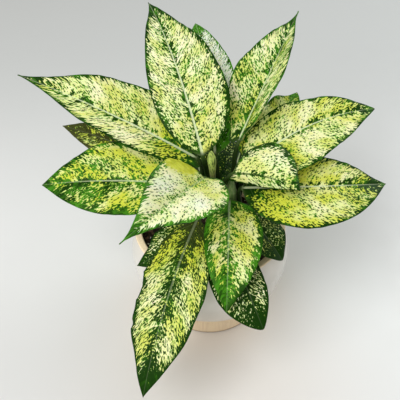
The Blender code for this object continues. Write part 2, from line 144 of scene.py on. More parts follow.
def turned(name, profile, sides, material, wobble=None, sharp=40):
    """A turned piece. Its profile starts and ends on the axis and runs down its outside.

    wobble, where given, moves the array of points off the true round.
    """
    turns = np.arange(sides) * 2 * math.pi / sides
    rings = np.array(profile[1:-1])
    points = np.stack([np.outer(rings[:, 0], np.cos(turns)), np.outer(rings[:, 0], np.sin(turns)),
                       np.repeat(rings[:, 1:], sides, axis=1)], axis=-1)
    points = np.vstack([points.reshape(-1, 3), (0, 0, profile[0][1]), (0, 0, profile[-1][1])])
    if wobble is not None:
        points = wobble(points)
    first_centre = len(points) - 2
    last_centre = len(points) - 1
    last_ring = (len(rings) - 1) * sides
    faces = []
    for j in range(sides):
        k = (j + 1) % sides
        faces.append((first_centre, j, k))
        faces.append((last_centre, last_ring + k, last_ring + j))
        for i in range(len(rings) - 1):
            near = i * sides
            faces.append((near + j, near + sides + j, near + sides + k, near + k))
    return mesh_piece(name, points, faces, material, sharp)


def set_attribute(piece, name, values):
    """Stores three numbers for each point of a piece, for its material to read."""
    values = np.asarray(values, dtype=np.float32)
    piece.data.attributes.new(name, "FLOAT_VECTOR", "POINT").data.foreach_set("vector", values.ravel())


def new_material(name):
    """A material with its node tree and its Principled shader."""
    material = bpy.data.materials.new(name)
    material.use_nodes = True
    return material, material.node_tree, material.node_tree.nodes["Principled BSDF"]


def set_inputs(node, inputs):
    """Gives a node's inputs, by name or number, plain values or other nodes' outputs."""
    for key, value in inputs.items():
        if isinstance(value, bpy.types.NodeSocket):
            node.id_data.links.new(value, node.inputs[key])
        else:
            node.inputs[key].default_value = value


def add_node(kind, inputs, **settings):
    """Adds a shader node, with its settings, to the tree of the outputs among its inputs."""
    tree = next(value.id_data for value in inputs.values() if isinstance(value, bpy.types.NodeSocket))
    made = tree.nodes.new("ShaderNode" + kind)
    for key, value in settings.items():
        setattr(made, key, value)
    set_inputs(made, inputs)
    return made


def object_place(tree):
    """The place on the object, in metres."""
    return tree.nodes.new("ShaderNodeTexCoord").outputs["Object"]


def attribute(tree, name):
    """Three numbers stored on the mesh, together and one by one."""
    stored = tree.nodes.new("ShaderNodeAttribute")
    stored.attribute_name = name
    vector = stored.outputs["Vector"]
    return vector, *add_node("SeparateXYZ", {0: vector}).outputs


def stretched(place, scales):
    """A place with each of its three numbers scaled."""
    return add_node("VectorMath", {0: place, 1: scales}, operation="MULTIPLY").outputs[0]


def clouds(place, scale, detail=2.0, roughness=0.5):
    """Soft random clouds from 0 to 1, mostly near a half, drawn out if there are three scales."""
    if isinstance(scale, tuple):
        place = stretched(place, scale)
        scale = 1
    inputs = {"Vector": place, "Scale": scale, "Detail": detail, "Roughness": roughness}
    return add_node("TexNoise", inputs).outputs[0]


def span(value, low, high, first=0.0, second=1.0):
    """Goes smoothly from first to second as the value goes from low to high."""
    inputs = {0: value, 1: low, 2: high, 3: first, 4: second}
    return add_node("MapRange", inputs, interpolation_type="SMOOTHSTEP").outputs[0]


def calc(operation, first, second=0.0, third=0.0):
    """One sum on two or three numbers."""
    return add_node("Math", {0: first, 1: second, 2: third}, operation=operation).outputs[0]


def total(*values):
    """The sum of several numbers."""
    result = values[0]
    for value in values[1:]:
        result = calc("ADD", result, value)
    return result


def mixed(share, first, second):
    """A colour between two others."""
    return add_node("Mix", {0: share, 6: first, 7: second}, data_type="RGBA").outputs[2]


def relief(height, depth, strength=1.0, under=None):
    """A bumpy normal from a height from 0 to 1, over another normal if one is given."""
    inputs = {"Strength": strength, "Distance": depth, "Height": height}
    if under is not None:
        inputs["Normal"] = under
    return add_node("Bump", inputs).outputs[0]


def pot_material():
    """White glaze on buff clay, by how many millimetres a point is past the glaze's edge."""
    material, tree, shader = new_material("glaze_on_bare_clay")
    place = object_place(tree)
    past_edge = attribute(tree, "past_glaze")[1]
    wander = clouds(place, 220, 3)
    wander = calc("MULTIPLY_ADD", wander, GLAZE_END_WANDER * 2, -GLAZE_END_WANDER)
    bare = span(total(past_edge, wander), -GLAZE_END_BLUR, GLAZE_END_BLUR)
    thin = span(past_edge, -GLAZE_THINNING, 0.0, 0.0, 0.50)
    rings = clouds(place, (9, 9, 900), 3)
    grain = clouds(place, 1500, 3, 0.7)
    pooled = clouds(place, 28, 2)
    streaks = clouds(place, (420, 420, 30), 3, 0.6)
    height = add_node("SeparateXYZ", {0: place}).outputs[2]
    glaze = mixed(span(pooled, 0.35, 0.7), GLAZE_WHITE, GLAZE_SHADE)
    glaze = mixed(thin, glaze, GLAZE_THIN)
    clay = mixed(span(streaks, 0.35, 0.75), CLAY_BUFF, CLAY_DARK)
    clay = mixed(span(grain, 0.55, 0.8, 0, 0.5), clay, CLAY_GRAIN)
    # A brown band is painted along the bottom of the foot: the contact shadow where the pot meets the
    # floor.
    clay = mixed(span(height, *FOOT_CONTACT_SHADOW_HEIGHTS, 0.8, 0.0), clay, CONTACT_SHADOW_BROWN)
    soft = relief(pooled, 0.0012, 0.35)
    thrown = relief(rings, 0.0005, span(bare, 0, 1, 0.15, 0.8), soft)
    set_inputs(shader, {
        "Base Color": mixed(bare, glaze, clay),
        "Roughness": span(bare, 0, 1, GLAZE_ROUGHNESS, CLAY_ROUGHNESS),
        "Normal": relief(grain, 0.0002, span(bare, 0, 1, 0.02, 0.8), thrown)})
    return material


def inner_wall():
    """The pot's inner wall from its floor's corner up to its lip, as radii and heights."""
    top = (LIP_RADIUS - LIP_WIDTH, POT_HEIGHT - LIP_ROUND)
    return smooth_curve([*POT_INNER_WALL, top], INNER_WALL_STEPS)


def pot_profile():
    """The pot's half section, from the middle of its inner floor over the lip to its underside."""
    lip_height = POT_HEIGHT - LIP_ROUND
    inner = [(0.0, POT_FLOOR), (POT_INNER_WALL[0][0] - POT_FLOOR_CORNER, POT_FLOOR), *inner_wall()]
    lip = quarter_round((LIP_RADIUS - LIP_WIDTH + LIP_ROUND, lip_height), LIP_ROUND, 180)
    lip += quarter_round((LIP_RADIUS - LIP_ROUND, lip_height), LIP_ROUND, 90)
    outer = smooth_curve([(LIP_RADIUS, lip_height), *POT_OUTER_WALL], OUTER_WALL_STEPS)
    foot = [(FOOT_TOP_RADIUS - FOOT_GROOVE, FOOT_HEIGHT)]
    foot += [(FOOT_TOP_RADIUS, FOOT_HEIGHT - FOOT_GROOVE)]
    foot += [(FOOT_RADIUS, FOOT_EDGE), (FOOT_RADIUS - FOOT_EDGE, 0.0), (0.0, 0.0)]
    return inner + lip[1:] + outer[1:] + foot


def past_glaze(points):
    """How many millimetres each point lies past the glaze's edge, less than 0 on the glaze."""
    over_lip = points[:, 2] - (POT_HEIGHT - LIP_ROUND)
    turned_in = GLAZE_END_RADIUS - np.hypot(points[:, 0], points[:, 1])
    return np.maximum(over_lip, turned_in) * MM_IN_METRE


def drilled(piece, cutters):
    """Cuts the cutters' shapes out of a piece, and clears the cutters away."""
    for cutter in cutters:
        hole = piece.modifiers.new(cutter.name, "BOOLEAN")
        hole.operation = "DIFFERENCE"
        hole.solver = "EXACT"
        hole.object = cutter
    shaped = piece.evaluated_get(bpy.context.evaluated_depsgraph_get())
    mesh = bpy.data.meshes.new_from_object(shaped)
    piece.modifiers.clear()
    piece.data = mesh
    for cutter in cutters:
        bpy.data.objects.remove(cutter, do_unlink=True)


def drain_cutter(i):
    """A cylinder through the pot's floor."""
    turn = 2 * math.pi * (i + DRAIN_FIRST_SHARE) / DRAIN_COUNT
    middle = (DRAIN_RING_RADIUS * math.cos(turn), DRAIN_RING_RADIUS * math.sin(turn), POT_FLOOR / 2)
    shape = bmesh.new()
    bmesh.ops.create_cone(shape, cap_ends=True, segments=DRAIN_SIDES, radius1=DRAIN_RADIUS,
                          radius2=DRAIN_RADIUS, depth=POT_FLOOR * 2)
    bmesh.ops.translate(shape, verts=shape.verts, vec=middle)
    mesh = bpy.data.meshes.new(f"drain_{i}")
    shape.to_mesh(mesh)
    shape.free()
    return placed(f"drain_{i}", mesh)


def points_of(piece):
    """The points of a piece's mesh as an array."""
    points = np.empty(len(piece.data.vertices) * 3)
    piece.data.vertices.foreach_get("co", points)
    return points.reshape(-1, 3)


def add_piece(piece, node):
    """Lets a piece stand for a node of the model: it joins the root, and the node's own part is hidden.
    """
    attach(piece, "root")
    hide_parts(node)


pot = turned("glazed_pot", divided(pot_profile(), POT_STEP), POT_SIDES, pot_material())
drilled(pot, [drain_cutter(i) for i in range(DRAIN_COUNT)])
glaze_line = past_glaze(points_of(pot))
set_attribute(pot, "past_glaze", np.stack([glaze_line] * 3, axis=1))
add_piece(pot, "pot")


# The soil: dark peat potting mix with bark chips and white perlite. It fills the pot to a
# finger's width under the lip, and has settled into a low dome round the stems.
SOIL_EDGE_HEIGHT = 0.092
SOIL_CROWN_HEIGHT = 0.095
SOIL_DOME_POWER = 2.5
SOIL_CLEARANCE = 0.0003
SOIL_EDGE_IN = 0.0008
SOIL_LUMP = 0.0011
SOIL_TOP_STEP = 0.0011
SOIL_TOP_MARGIN = 0.0001
SOIL_SIDES = 180
SOIL_SEED = 11
# The soil's bumps: how many there are to the metre, where the noise is cut, and their share.
SOIL_BUMPS = ((130, 0.3, 0.6), (420, 5.1, 0.4), (900, 9.7, 0.2))
PEAT_DAMP = ((0.012, 0.008, 0.005, 1), (0.030, 0.019, 0.011, 1))
PEAT_DRY = ((0.055, 0.033, 0.018, 1), (0.13, 0.080, 0.045, 1))
BARK_CHIPS = 230
BARK_SIZES = (0.0010, 0.0030)
BARK_COLOURS = ((0.050, 0.028, 0.015, 1), (0.15, 0.085, 0.045, 1))
PERLITE_GRAINS = 90
PERLITE_SIZES = (0.0007, 0.0015)
PERLITE_COLOURS = ((0.55, 0.53, 0.48, 1), (0.78, 0.77, 0.73, 1))
CRUMB_OUT_OF_TRUE = 0.22
CRUMB_WIDTHS = (0.5, 0.9)
CRUMB_HEIGHTS = (0.35, 0.65)
CRUMB_TILT_RADIANS = 0.5
CRUMB_RIM_ROOM = 1.3
CRUMB_PROUD = 0.12


def soil_height(x, y):
    """The height of the soil's surface at a place, lumps and all."""
    out = min(math.hypot(x, y) / (LIP_RADIUS - LIP_WIDTH), 1.0)
    dome = SOIL_EDGE_HEIGHT + (SOIL_CROWN_HEIGHT - SOIL_EDGE_HEIGHT) * (1 - out ** SOIL_DOME_POWER)
    bumps = sum(share * noise.noise((x * scale, y * scale, cut)) for scale, cut, share in SOIL_BUMPS)
    return dome - SOIL_LUMP + SOIL_LUMP * bumps


def lumpy_top(points):
    """Raises the lumps on whatever points lie on the soil's top."""
    for point in points:
        if point[2] > SOIL_EDGE_HEIGHT - SOIL_TOP_MARGIN:
            point[2] = soil_height(point[0], point[1])
    return points


def soil_material():
    """Crumbly peat: nearly black where it is damp, browner on the crumbs that stand up."""
    material, tree, shader = new_material("peat_mix")
    place = object_place(tree)
    crumbs = clouds(place, 420, 5, 0.7)
    fibres = clouds(place, (2200, 700, 900), 3, 0.6)
    damp = clouds(place, 45, 2)
    dark = mixed(span(damp, 0.4, 0.65), *PEAT_DAMP)
    brown = mixed(span(fibres, 0.45, 0.7), *PEAT_DRY)
    rough = relief(crumbs, 0.0016, 1.0)
    set_inputs(shader, {
        "Base Color": mixed(span(crumbs, 0.42, 0.68), dark, brown),
        "Roughness": 0.95,
        "Specular IOR Level": 0.25,
        "Normal": relief(fibres, 0.0004, 0.7, rough)})
    return material


def rotation(turn, first, second):
    """A turn in radians from the first axis towards the second, as a matrix."""
    matrix = np.eye(3)
    matrix[first, first] = math.cos(turn)
    matrix[first, second] = -math.sin(turn)
    matrix[second, first] = math.sin(turn)
    matrix[second, second] = math.cos(turn)
    return matrix


def crumb_shape(random, size):
    """One crumb: a small ball pressed flat, bent out of true and turned some way."""
    shape = bmesh.new()
    bmesh.ops.create_icosphere(shape, subdivisions=1, radius=1.0)
    points = np.array([v.co[:] for v in shape.verts])
    faces = [[v.index for v in face.verts] for face in shape.faces]
    shape.free()
    points *= 1 + random.uniform(-CRUMB_OUT_OF_TRUE, CRUMB_OUT_OF_TRUE, len(points))[:, None]
    points *= size * np.array([1.0, random.uniform(*CRUMB_WIDTHS), random.uniform(*CRUMB_HEIGHTS)])
    spin = rotation(random.uniform(0, 2 * math.pi), 0, 1)
    tip = rotation(random.uniform(-CRUMB_TILT_RADIANS, CRUMB_TILT_RADIANS), 1, 2)
    return points @ tip.T @ spin.T, faces


def scattered(name, count, sizes, seed, material):
    """Crumbs strewn over the soil and half sunk in it, as one piece."""
    random = np.random.default_rng(seed)
    reach = LIP_RADIUS - LIP_WIDTH - SOIL_CLEARANCE - sizes[1] * CRUMB_RIM_ROOM
    points = []
    faces = []
    for _ in range(count):
        size = random.uniform(*sizes)
        out = reach * math.sqrt(random.uniform(0, 1))
        turn = random.uniform(0, 2 * math.pi)
        x = out * math.cos(turn)
        y = out * math.sin(turn)
        crumb, sides = crumb_shape(random, size)
        first = len(points)
        points.extend((crumb + (x, y, soil_height(x, y) + size * CRUMB_PROUD)).tolist())
        faces.extend([tuple(first + i for i in side) for side in sides])
    return mesh_piece(name, points, faces, material)


def crumb_material(name, colours, roughness):
    """A dry crumb, mottled from one colour to the other."""
    material, tree, shader = new_material(name)
    place = object_place(tree)
    mottle = clouds(place, 650, 3, 0.6)
    set_inputs(shader, {
        "Base Color": mixed(span(mottle, 0.35, 0.65), *colours),
        "Roughness": roughness,
        "Normal": relief(clouds(place, 1800, 3, 0.7), 0.0004, 0.8)})
    return material


soil_edge = LIP_RADIUS - LIP_WIDTH - SOIL_CLEARANCE - SOIL_EDGE_IN
soil_top = divided([(0.0, SOIL_CROWN_HEIGHT), (soil_edge, SOIL_EDGE_HEIGHT)], SOIL_TOP_STEP)
soil_wall = [(radius - SOIL_CLEARANCE, height) for radius, height in inner_wall()[::-1]
             if height < SOIL_EDGE_HEIGHT]
soil_floor = POT_FLOOR + SOIL_CLEARANCE
soil_base = [(POT_INNER_WALL[0][0] - POT_FLOOR_CORNER - SOIL_CLEARANCE, soil_floor), (0.0, soil_floor)]
soil_outline = soil_top + soil_wall + soil_base
soil = turned("potting_mix", soil_outline, SOIL_SIDES, soil_material(), lumpy_top, sharp=180)
add_piece(soil, "soil")
bark = scattered("bark_chips", BARK_CHIPS, BARK_SIZES, SOIL_SEED,
                 crumb_material("bark", BARK_COLOURS, roughness=0.9))
perlite = scattered("perlite_grains", PERLITE_GRAINS, PERLITE_SIZES, SOIL_SEED + 1,
                    crumb_material("perlite", PERLITE_COLOURS, roughness=0.85))
for crumbs in (bark, perlite):
    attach(crumbs, "root")


# The stems: two short fleshy canes that grew up out of the soil. Each fallen leaf left a raised
# pale scar round its cane, with the dry brown remains of its sheath still clinging to it.
STEM_PLACES = {"left": (0.002, 0.003), "right": (0.020, 0.006)}
STEM_TIP_STARTS = {"left": 0.155, "right": 0.143}
STEM_TIP_RADII = {"left": 0.0036, "right": 0.0010}
STEM_TIP_ROUND = 0.0005
STEM_TIP_FLAT_SHARE = 0.8
STEM_TIP_FLAT_DROP = 0.0001
STEM_TIP_STEP = 0.0008
STEM_TOP_HEIGHT = 0.160
STEM_FOOT_HEIGHT = 0.060
STEM_FOOT_RADIUS = 0.0070
STEM_TOP_RADIUS = 0.0056
STEM_STEP = 0.0007
STEM_SIDES = 48
STEM_BUMP = 0.00025
STEM_BUMP_SCALES = (300, 300, 130)
SCAR_SPACING = 0.011
SCAR_PROUD = 0.0004
SCAR_HALF_HEIGHT = 0.0012
SCAR_ROUND_POWER = 0.7
SCAR_TILT = 0.10
CANE_GREENS = ((0.10, 0.20, 0.045, 1), (0.24, 0.33, 0.11, 1))
HUSK_BROWNS = ((0.18, 0.11, 0.05, 1), (0.40, 0.30, 0.16, 1))


def stem_radius(side, height):
    """How thick a stem is at a height."""
    share = (height - STEM_FOOT_HEIGHT) / (STEM_TIP_STARTS[side] - STEM_FOOT_HEIGHT)
    return STEM_FOOT_RADIUS + (STEM_TOP_RADIUS - STEM_FOOT_RADIUS) * share


def scar_relief(height):
    """How much a height stands out as part of a leaf scar, from 0 to 1."""
    away = (SOIL_CROWN_HEIGHT - height) % SCAR_SPACING
    away = np.minimum(away, SCAR_SPACING - away)
    return np.clip(1 - away / SCAR_HALF_HEIGHT, 0, 1) ** SCAR_ROUND_POWER


def spread(cloud, low, high):
    """Turns a cloud, most of which lies from 0.3 to 0.7, into numbers from low to high."""
    return span(cloud, 0.3, 0.7, low, high)


def stem_material():
    """Green skin with fine upright streaks, and tan scars with a brown papery rim."""
    material, tree, shader = new_material("green_cane")
    place = object_place(tree)
    scar = attribute(tree, "scar")[1]
    streaks = clouds(place, (900, 900, 60), 3, 0.6)
    skin = mixed(span(streaks, 0.35, 0.7), *CANE_GREENS)
    husk = mixed(clouds(place, 700, 3), *HUSK_BROWNS)
    frayed = total(scar, spread(clouds(place, 520, 3), -0.35, 0.2))
    set_inputs(shader, {
        "Base Color": mixed(span(frayed, 0.15, 0.55), skin, husk),
        "Roughness": span(scar, 0, 1, 0.42, 0.8),
        "Normal": relief(streaks, 0.0004, 0.6)})
    return material


def build_stem(side, material):
    """A stem, with its scars a little tilted and its skin a little uneven."""
    tip = STEM_TIP_RADII[side]
    tip_edge = (tip, STEM_TOP_HEIGHT - STEM_TIP_ROUND)
    outline = [(0.0, STEM_TOP_HEIGHT)]
    outline += [(tip * STEM_TIP_FLAT_SHARE, STEM_TOP_HEIGHT - STEM_TIP_FLAT_DROP)]
    outline += divided([tip_edge, (STEM_TOP_RADIUS, STEM_TIP_STARTS[side])], STEM_TIP_STEP)
    heights = np.arange(STEM_TIP_STARTS[side], STEM_FOOT_HEIGHT, -STEM_STEP)
    outline += [(stem_radius(side, height), height) for height in heights[1:]]
    outline += [(STEM_FOOT_RADIUS, STEM_FOOT_HEIGHT), (0.0, STEM_FOOT_HEIGHT)]
    scars = []

    def shaped(points):
        radius = np.maximum(np.hypot(points[:, 0], points[:, 1]), 1e-9)
        tilted = points[:, 2] + SCAR_TILT * points[:, 0]
        below_tip = points[:, 2] < STEM_TIP_STARTS[side] - SCAR_SPACING
        scars.extend(scar_relief(tilted) * below_tip)
        bumps = [noise.noise(place) for place in (points * STEM_BUMP_SCALES).tolist()]
        wider = radius + SCAR_PROUD * np.array(scars) + STEM_BUMP * np.array(bumps) * (radius > tip)
        points[:, :2] *= (wider / radius)[:, None]
        points[:, :2] += STEM_PLACES[side]
        return points

    stem = turned(f"{side}_cane", outline, STEM_SIDES, material, shaped, sharp=180)
    set_attribute(stem, "scar", np.stack([scars] * 3, axis=1))
    add_piece(stem, f"stem_{side}")


cane_skin = stem_material()
for side in STEM_PLACES:
    build_stem(side, cane_skin)


# The leaves: eighteen thin blades, each grown in one piece with its stalk, whose foot clasps a
# stem. The midrib is sunk on top and stands out below, and side veins sweep from it to the edge.
# The blade is green with a broken cover of cream and yellow, thinner along its edge and midrib.
SHEATH_HALF_WIDTH = 0.0030
SHEATH_HALF_HEIGHT = 0.0042
STALK_SEAT_RADIUS = 0.0030
STALK_BLADE_RADIUS = 0.0019
STALK_SEAT_CLIMB = 48
STALK_SEAT_PULL = 0.38
STALK_BLADE_PULL = 0.34
STALK_RINGS = 26
STALK_FLATNESS = 0.72
STALK_CHANNEL = 0.35
STALK_CHANNEL_POWER = 6
STALK_CHANNEL_FADE_POWER = 0.5
RING_EDGE_TURN = 168
BLADE_HALF_THICKNESS = 0.00035
BLADE_EDGE_THICKNESS = 0.00012
BLADE_EDGE_POWER = 8
MIDRIB_HALF_WIDTH = 0.0019
MIDRIB_WIDEST_SHARE = 0.4
MIDRIB_DEPTH = 0.0022
MIDRIB_THINNING = 0.75
MIDRIB_SUNK = 0.0003
RIB_LINE_REACH = 1.25
TIP_HALF_WIDTH = 0.0004
TIP_DRAW_POWER = 8
BLADE_END_SHARE = 0.002
BITE_POWER = 0.6
WAVE_EDGE_POWER = 2.5
WAVE_END_POWER = 0.5
EAR_PLACE = 0.05
FRILL = 0.00035
FRILL_LENGTH = 0.016
FRILL_EDGE_POWER = 3
FRILL_WANDER = 1.5
FRILL_WANDER_RATE = 0.37
QUILT_POWER = 0.7
VEIN_SPACING = 0.0068
VEIN_SWEEP = 0.45
VEIN_BEND = 1.25
ROW_LENGTH = 0.00125
ROW_POWER = 1.2
HALF_COLUMNS = 22
COLUMN_EVENNESS = 0.55
SEED_STEP = 3.7

# The pattern's clouds, as scales along the veins, across them, and from leaf to leaf.
PATCHES = (0.06, 0.04, 1)
SPECKS = (0.46, 0.38, 1)
STREAKS = (0.24, 0.13, 1.3)
STROKES = (0.42, 0.12, 2.1)
WARMTH = (0.05, 0.05, 1.7)
DEPTH = (0.12, 0.08, 2.3)
CELLS = (2.6, 2.0, 1)
DOTS = (0.44, 0.33, 1)
PATTERN_ACROSS_STRETCH = 1.25
BARE_STALK_FROM_EDGE = 9.0
BAND_FADE_START = 0.3
BAND_FADE_END = 1.6
CREAM = ((0.78, 0.86, 0.40, 1), (0.90, 0.88, 0.56, 1))
COOL_CREAM = (0.88, 0.92, 0.76, 1)
YELLOW = (0.62, 0.66, 0.06, 1)
LIMES = ((0.29, 0.54, 0.09, 1), (0.28, 0.45, 0.03, 1))
GREENS = ((0.070, 0.28, 0.012, 1), (0.007, 0.038, 0.002, 1))
OLIVE = (0.060, 0.062, 0.015, 1)
DARKEST = (0.007, 0.032, 0.002, 1)
PAINTED_GLOW_GOLDS = ((0.68, 0.70, 0.06, 1), (0.52, 0.54, 0.03, 1))
SIDE_VEIN = (0.36, 0.52, 0.14, 1)
MIDRIB_PALES = ((0.74, 0.80, 0.52, 1), (0.52, 0.66, 0.28, 1))
STALK_PAINTED_SHADE = ((0.012, 0.026, 0.005, 1), (0.032, 0.062, 0.013, 1))
UNDERSIDE = (0.30, 0.42, 0.20, 1)

# What a leaf is where its own entry doesn't say. The stalk leaves its stem at the seat, and the
# blade starts at the base. Heading and climb are those of its middle: from base to tip it swings
# to its left and arches down. It is rolled about its midrib, and each half is lifted, cupped and
# waved, with an ear at its foot. left_share widens the left half and narrows the right one, quilt
# lifts the blade between its veins, and a bite is a side, a place, a length and a depth.
# Of its pale cover, cream is how much there is, patchy how uneven that is, and yellow how yellow.
# The cover leaves a green margin and a green flank beside the midrib, both in millimetres, and
# fades from green_tip on. grain is how fine its specks are, dots how many dark dots lie over it,
# deep how dark the green is, olive how brown, and rib how clear the midrib is. painted_crease_shade
# is how dark the midrib is painted, as shade in a crease along it. Keys in foot or left add to
# that there, and painted_glow is the place and radius of a golden spot painted as light shining
# through the blade.
LEAF_HABIT = dict(
    arch=30, swing=0, roll=0, lift_left=12, lift_right=12, cup_left=-12, cup_right=-12,
    wave=0.001, waves=3, wave_start=0.0, widest=0.4, shoulder=0.6, left_share=0.0, tip_draw=0.4,
    ear_left=0.0, ear_right=0.0, bites=(), quilt=0.00018,
    cream=0.62, patchy=0.25, left_cover=0.0, foot_cover=0.0, yellow=0.35, yellow_foot=0.2,
    margin=2.6, margin_lean=0.0, flank=3.0, green_tip=0.86, dots=0.85, deep=0.45, olive=0.0,
    olive_foot=0.0, rib=0.9, painted_crease_shade=0.0, grain=1.1, painted_glow=(0, 0, 0))

LEAVES = {
    "leaf_back_left": dict(
        stem="left", seat_height=0.149, seat_turn=110, base=(-0.008, 0.005, 0.188), heading=110,
        climb=26, arch=49, swing=-4, length=0.186, width=0.071, roll=-10, lift_left=14, lift_right=14,
        cup_left=-20, cup_right=-20, wave=0.002, widest=0.33, left_share=-0.12,
        cream=0.66, yellow=0.25, margin=3.6, dots=0.95, deep=0.5),
    # Its foot is painted green, with the cover taken off, as the shade deep in the crown.
    "leaf_back_middle": dict(
        stem="left", seat_height=0.124, seat_turn=60, base=(0.004, 0.02, 0.178), heading=97, climb=22,
        swing=10, length=0.165, width=0.054, shoulder=0.5,
        cream=0.78, foot_cover=-1.1, yellow=-0.45, dots=0.6, deep=0.0, grain=1.6),
    "leaf_back_right": dict(
        stem="right", seat_height=0.137, seat_turn=75, base=(0.027, 0.025, 0.19), heading=63,
        climb=27, arch=19, swing=8, length=0.158, width=0.06, lift_left=22, lift_right=55,
        cup_right=-20, wave=0.0015, widest=0.39, shoulder=0.91, left_share=0.09, tip_draw=0.58,
        ear_left=0.012,
        margin=2.4, deep=0.3),
    "leaf_back_right_low": dict(
        stem="right", seat_height=0.118, seat_turn=62, base=(0.036, 0.032, 0.16), heading=54,
        climb=18, arch=20, length=0.1, width=0.054, wave=0.0035, waves=4, tip_draw=0.1,
        cream=0.9, yellow=0.55, dots=0.9, deep=0.0, rib=0.3),
    # These two low leaves behind the crown have no cream and the darkest green: partly their own dark
    # green, partly painted shade for the dark under the crown.
    "leaf_back_low_left": dict(
        stem="left", seat_height=0.103, seat_turn=98, base=(-0.004, 0.03, 0.131), heading=108,
        climb=2, arch=24, length=0.1, width=0.066,
        cream=0.0, yellow=0.6, deep=1.3),
    "leaf_back_low_right": dict(
        stem="right", seat_height=0.104, seat_turn=88, base=(0.021, 0.032, 0.128), heading=76,
        climb=2, arch=24, length=0.08, width=0.06,
        cream=0.0, yellow=0.6, deep=1.3),
    "leaf_right_high": dict(
        stem="right", seat_height=0.13, seat_turn=30, base=(0.037, 0.014, 0.168), heading=19,
        climb=16, swing=-24, length=0.135, width=0.07, roll=20, wave=0.0015, widest=0.36,
        shoulder=0.41, left_share=-0.11,
        cream=0.8, yellow=0.5, deep=0.5),
    "leaf_right_low": dict(
        stem="right", seat_height=0.12, seat_turn=-18, base=(0.031, 0.002, 0.15), heading=5, climb=-2,
        swing=40, length=0.145, width=0.077, roll=24, shoulder=0.65, left_share=-0.14,
        cream=0.84, foot_cover=-0.9, patchy=0.35, yellow=0.6, yellow_foot=0.8, green_tip=0.64,
        dots=1.1, deep=0.6, grain=1.0),
    "leaf_right_young": dict(
        stem="left", seat_height=0.15, seat_turn=-15, base=(0.021, -0.003, 0.171), heading=-25,
        climb=2, arch=37, swing=-6, length=0.065, width=0.053, roll=20, lift_left=10, lift_right=-60,
        cup_left=-30, cup_right=-20, left_share=0.52, ear_left=0.002, ear_right=0.016,
        cream=0.84, yellow=0.25, yellow_foot=0.0, margin=4.5, margin_lean=4.1, flank=1.5,
        green_tip=0.94, dots=0.8, rib=0.8, painted_crease_shade=1.0),
    "leaf_left_high": dict(
        stem="left", seat_height=0.133, seat_turn=165, base=(-0.014, 0.014, 0.177), heading=169,
        climb=23, arch=13, swing=-3, length=0.178, width=0.059, roll=-31, wave=0.002, wave_start=0.8,
        widest=0.38, shoulder=0.71, left_share=-0.24, tip_draw=0.76, ear_left=0.014,
        cream=0.77, foot_cover=-0.6, yellow=0.38, yellow_foot=0.85, green_tip=0.9, dots=1.0, deep=0.5),
    "leaf_left_dark": dict(
        stem="left", seat_height=0.112, seat_turn=140, base=(-0.02, 0.02, 0.146), heading=159,
        climb=12, arch=20, length=0.142, width=0.054, roll=-15,
        cream=0.36, patchy=0.15, yellow=0.7, dots=0.4, deep=0.9, olive=0.85, olive_foot=0.85, rib=0.15),
    "leaf_left_low": dict(
        stem="left", seat_height=0.118, seat_turn=200, base=(-0.03, 0.002, 0.155), heading=176,
        climb=-4, swing=-18, length=0.136, width=0.076, roll=-28, left_share=-0.05,
        cream=0.82, left_cover=-0.48, patchy=0.45, yellow=0.7, margin=4.8, deep=0.28, rib=0.6,
        grain=1.0),
    "leaf_front_pale": dict(
        stem="left", seat_height=0.145, seat_turn=-112, base=(-0.006, -0.014, 0.175), heading=-118,
        climb=14, arch=14, swing=-6, length=0.136, width=0.071, lift_left=7, lift_right=51,
        widest=0.34, shoulder=0.88, left_share=0.11, tip_draw=0.56, ear_left=0.012, ear_right=0.002,
        quilt=0.00006,
        cream=0.98, yellow=0.02, yellow_foot=0.6, margin=4.2, green_tip=0.9, dots=0.8, deep=0.1,
        rib=0.35, painted_glow=(8, -28, 20)),
    "leaf_front_long": dict(
        stem="left", seat_height=0.111, seat_turn=-80, base=(-0.012, -0.022, 0.133), heading=-109,
        climb=-30, arch=50, length=0.172, width=0.06, wave=0.003, waves=4, widest=0.46, shoulder=0.8,
        left_share=0.07, bites=((-1, 0.47, 0.07, 0.13), (-1, 0.66, 0.02, 0.06)),
        foot_cover=-0.5, yellow=0.42, yellow_foot=1.1, margin=3.0, flank=8.0, green_tip=0.84,
        dots=1.05, deep=0.75, olive_foot=0.6, rib=0.18, grain=1.15),
    "leaf_front_left_small": dict(
        stem="left", seat_height=0.1, seat_turn=-150, base=(-0.016, -0.014, 0.116), heading=-144,
        climb=-12, arch=40, swing=-62, length=0.072, width=0.046,
        cream=0.26, patchy=0.08, deep=0.8, rib=0.15, grain=1.25),
    "leaf_front_middle": dict(
        stem="right", seat_height=0.124, seat_turn=-105, base=(0.018, -0.008, 0.143), heading=-93,
        climb=-18, arch=40, length=0.114, width=0.053, left_share=0.16,
        cream=0.64, left_cover=0.24, foot_cover=-0.9, patchy=0.2, yellow=0.54, margin=5.0, flank=6.0,
        green_tip=0.72, dots=1.0, deep=0.2, rib=0.35, grain=1.15),
    "leaf_front_dark": dict(
        stem="right", seat_height=0.104, seat_turn=-110, base=(0.012, -0.014, 0.124), heading=-71,
        climb=-20, arch=45, swing=22, length=0.116, width=0.051, widest=0.61, shoulder=0.96,
        left_share=-0.27,
        cream=0.27, patchy=0.08, yellow=0.2, deep=1.3, rib=0.15, grain=1.25),
    "leaf_front_right_dark": dict(
        stem="right", seat_height=0.111, seat_turn=-58, base=(0.026, -0.004, 0.134), heading=-50,
        climb=-22, arch=40, swing=11, length=0.07, width=0.053, roll=-14, widest=0.51,
        left_share=-0.04,
        cream=0.1, patchy=0.08, deep=1.3, rib=0.15, grain=1.25),
}


def direction(heading, climb):
    """Unit vectors from headings and climbs in degrees."""
    turn = np.radians(heading)
    rise = np.radians(climb)
    return np.stack([np.cos(rise) * np.cos(turn), np.cos(rise) * np.sin(turn), np.sin(rise)], axis=-1)


